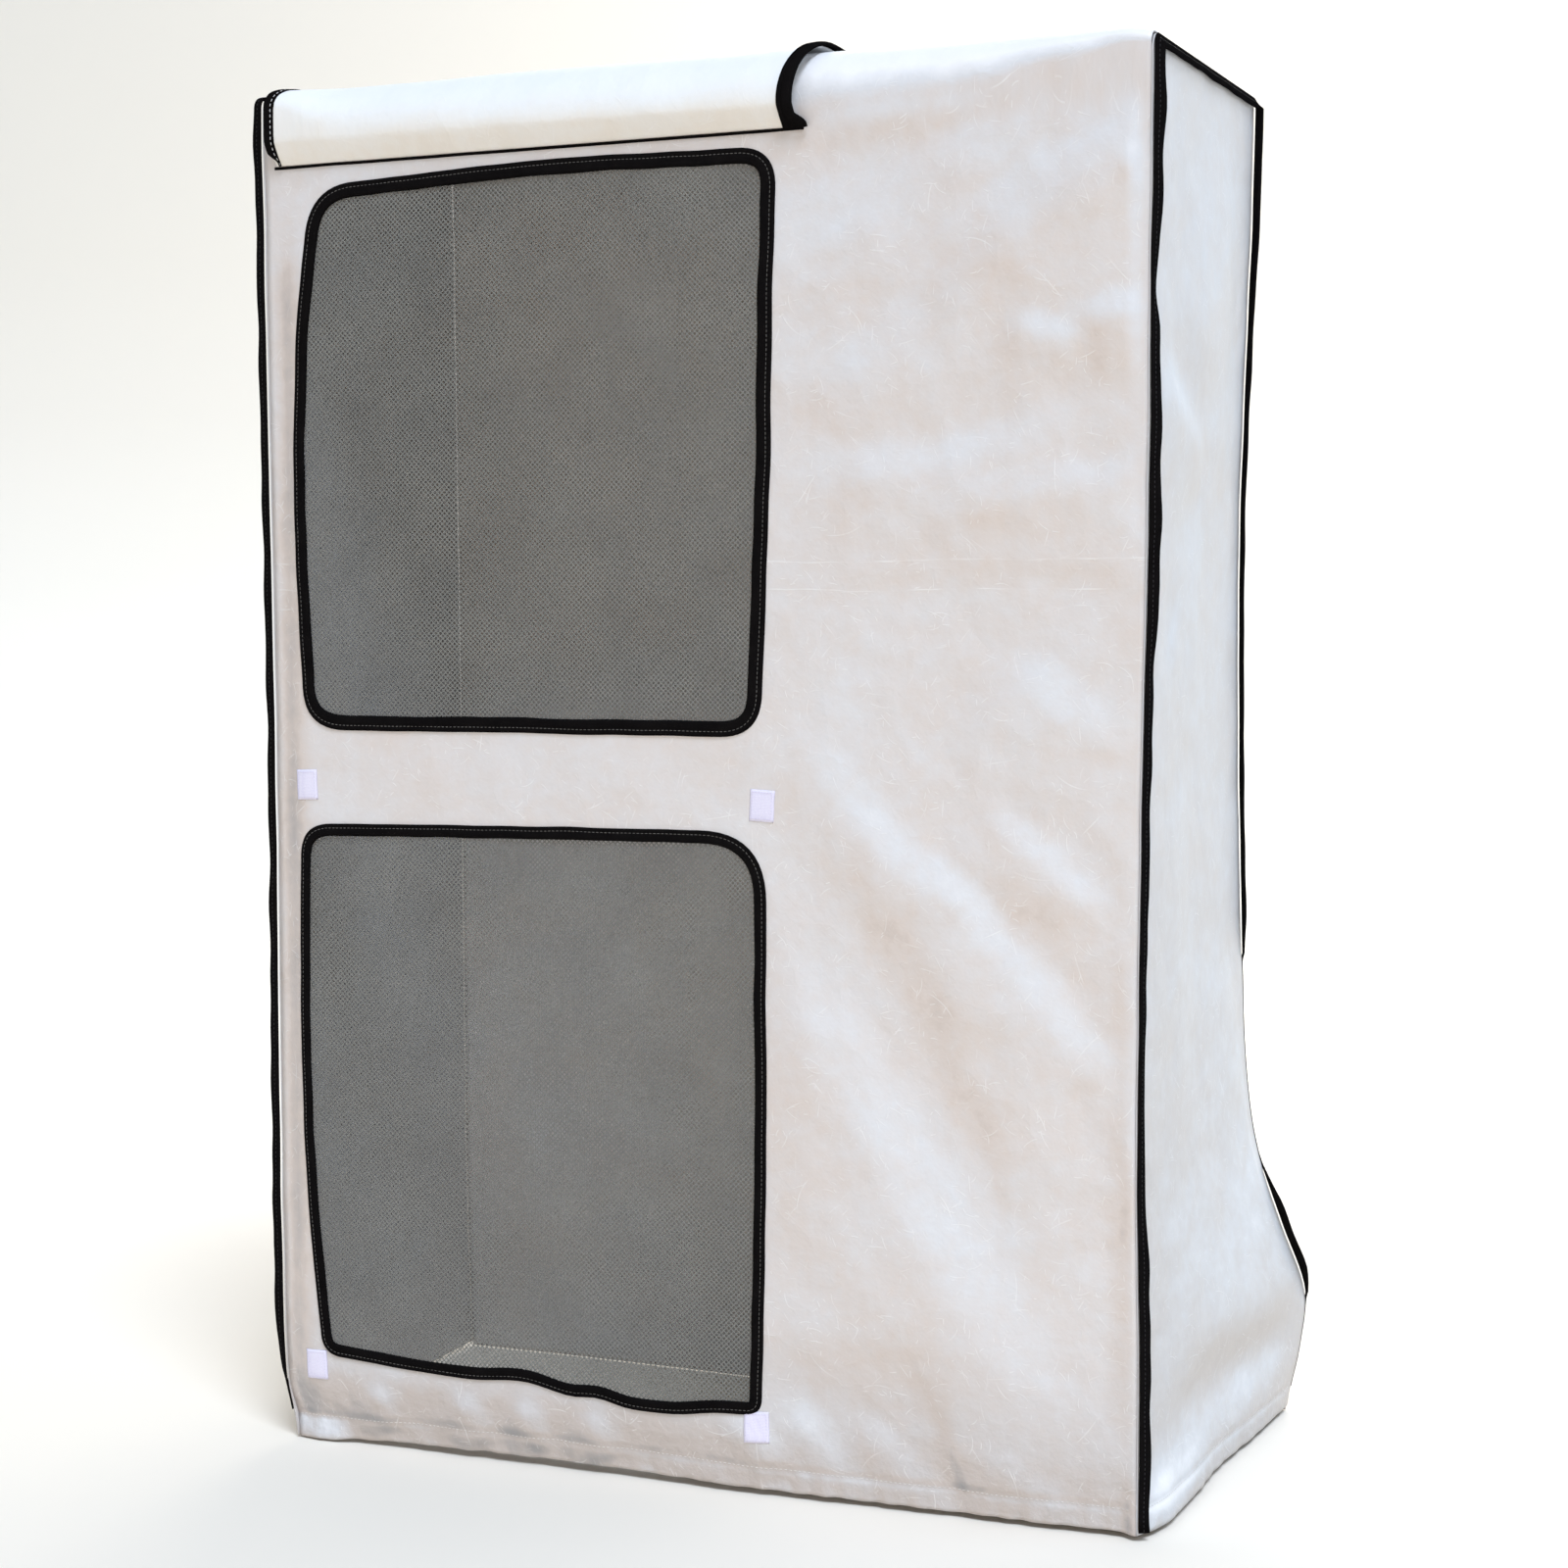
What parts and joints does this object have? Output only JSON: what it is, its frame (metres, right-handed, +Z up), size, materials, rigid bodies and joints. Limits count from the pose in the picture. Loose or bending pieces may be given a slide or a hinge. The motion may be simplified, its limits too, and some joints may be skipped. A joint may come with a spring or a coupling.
{
  "type": "air conditioner cover",
  "caption": "Fitted cloth cover for a tall outdoor air conditioner, with mesh windows, a window flap turned back over the top, and bound seams.",
  "frame": {"origin": "under the middle of the bounding box, at the level of the hem", "axes": "+Z up, the front with the windows faces -Y, +X to the right as the front is seen"},
  "size_m": [0.9736, 0.5118, 1.3739],
  "materials": {
    "cloth": "coated woven cloth, soft sheen, fine creases",
    "mesh": "fine dark net",
    "binding": "black woven tape with a stitched line",
    "grip_tape": "white hook tape"
  },
  "bodies": {
    "root": {"main_band": "cloth", "side_panel_right": "cloth", "side_panel_left": "cloth", "window_flap": "cloth", "window_mesh_upper": "mesh", "window_mesh_lower": "mesh", "window_tape_upper": "binding", "window_tape_lower": "binding", "seam_tape_right": "binding", "seam_tape_left": "binding", "flap_tape": "binding", "hinge_tape": "binding", "grip_patch_upper_left": "grip_tape", "grip_patch_upper_right": "grip_tape", "grip_patch_lower_left": "grip_tape", "grip_patch_lower_right": "grip_tape"}
  },
  "joints": []
}
